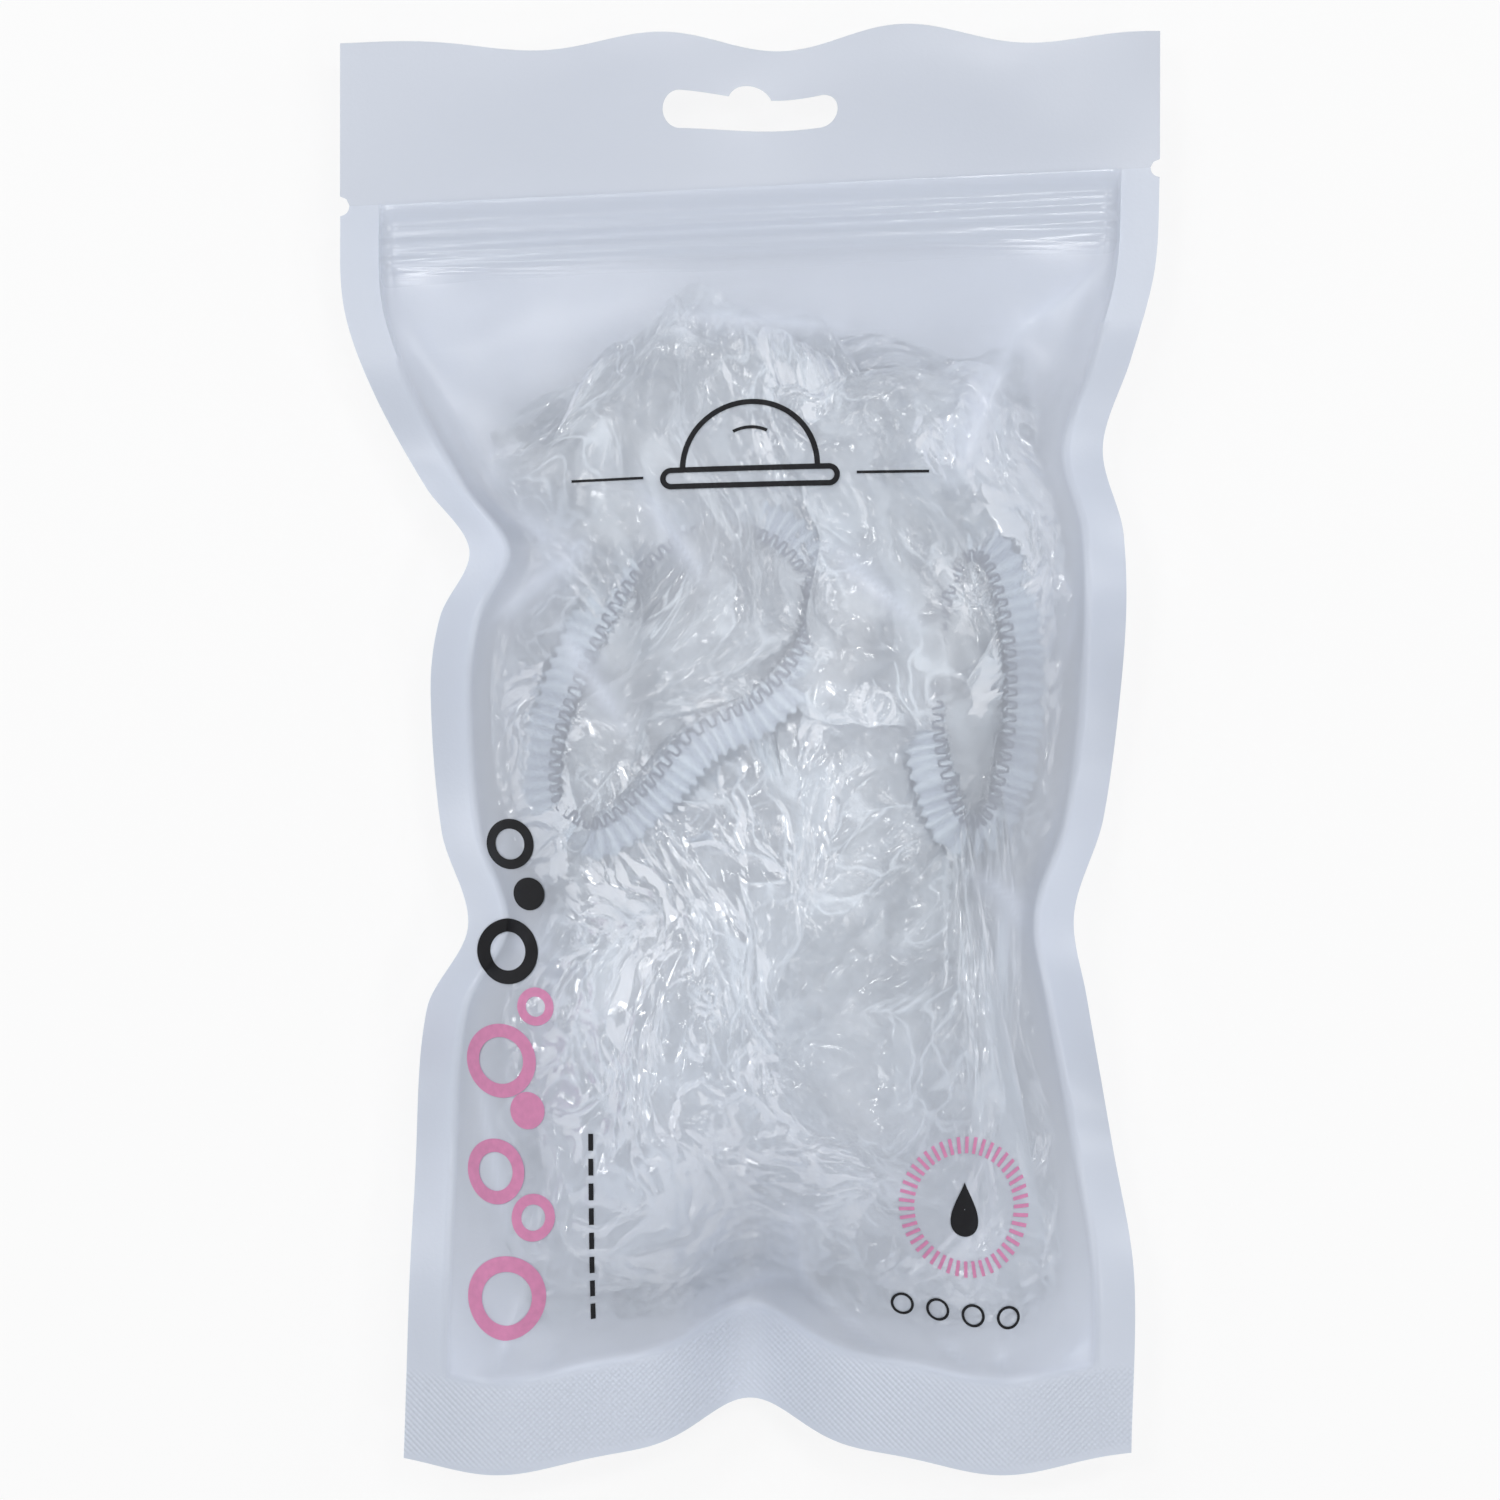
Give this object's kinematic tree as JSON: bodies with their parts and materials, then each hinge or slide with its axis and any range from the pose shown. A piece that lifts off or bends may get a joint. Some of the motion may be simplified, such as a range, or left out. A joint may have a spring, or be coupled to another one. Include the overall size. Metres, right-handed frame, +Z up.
{
  "type": "shower cap pouch",
  "caption": "Frosted film zip pouch with a hang slot and tear-off header, packed with crumpled clear shower caps whose elastic hems show through its front",
  "frame": {"origin": "on the table under the middle of the pouch's bounding box", "axes": "+X across the pouch to the right of its front, +Y up the pouch from the bottom seal to the hang slot, +Z up out of the front film; the pouch lies on its back"},
  "size_m": [0.15, 0.2642, 0.0499],
  "materials": {
    "film": "frosted translucent film with a soft sheen",
    "zip_plastic": "glossy translucent zip profile",
    "cap_film": "thin clear crumpled film",
    "hem_film": "gathered film casing",
    "elastic": "flat white elastic",
    "thread": "overlock thread"
  },
  "bodies": {
    "pouch": {"front_film": "film", "back_film": "film", "zip_channel": "zip_plastic", "cap_1_crown": "cap_film", "cap_1_hem_casing": "hem_film", "cap_1_elastic": "elastic", "cap_1_stitching": "thread", "cap_2_crown": "cap_film", "cap_2_hem_casing": "hem_film", "cap_2_elastic": "elastic", "cap_2_stitching": "thread", "cap_3_crown": "cap_film", "cap_3_hem_casing": "hem_film", "cap_3_elastic": "elastic", "cap_3_stitching": "thread", "cap_4_crown": "cap_film", "cap_4_hem_casing": "hem_film", "cap_4_elastic": "elastic", "cap_4_stitching": "thread"},
    "front_lip": {"front_lip": "film", "zip_rib": "zip_plastic"},
    "header": {"tear_off_header": "film"}
  },
  "joints": [
    {"name": "lip_opens", "type": "hinge", "parent": "pouch", "child": "front_lip", "pos_m": [0, 0.0744, 0.0263], "axis": [0.9989, 0.0479, 0], "range_deg": [0, 60]},
    {"name": "header_tears_off", "type": "slide", "parent": "pouch", "child": "header", "axis": [-0.0479, 0.9989, 0], "range_m": [0, 0.05]}
  ]
}
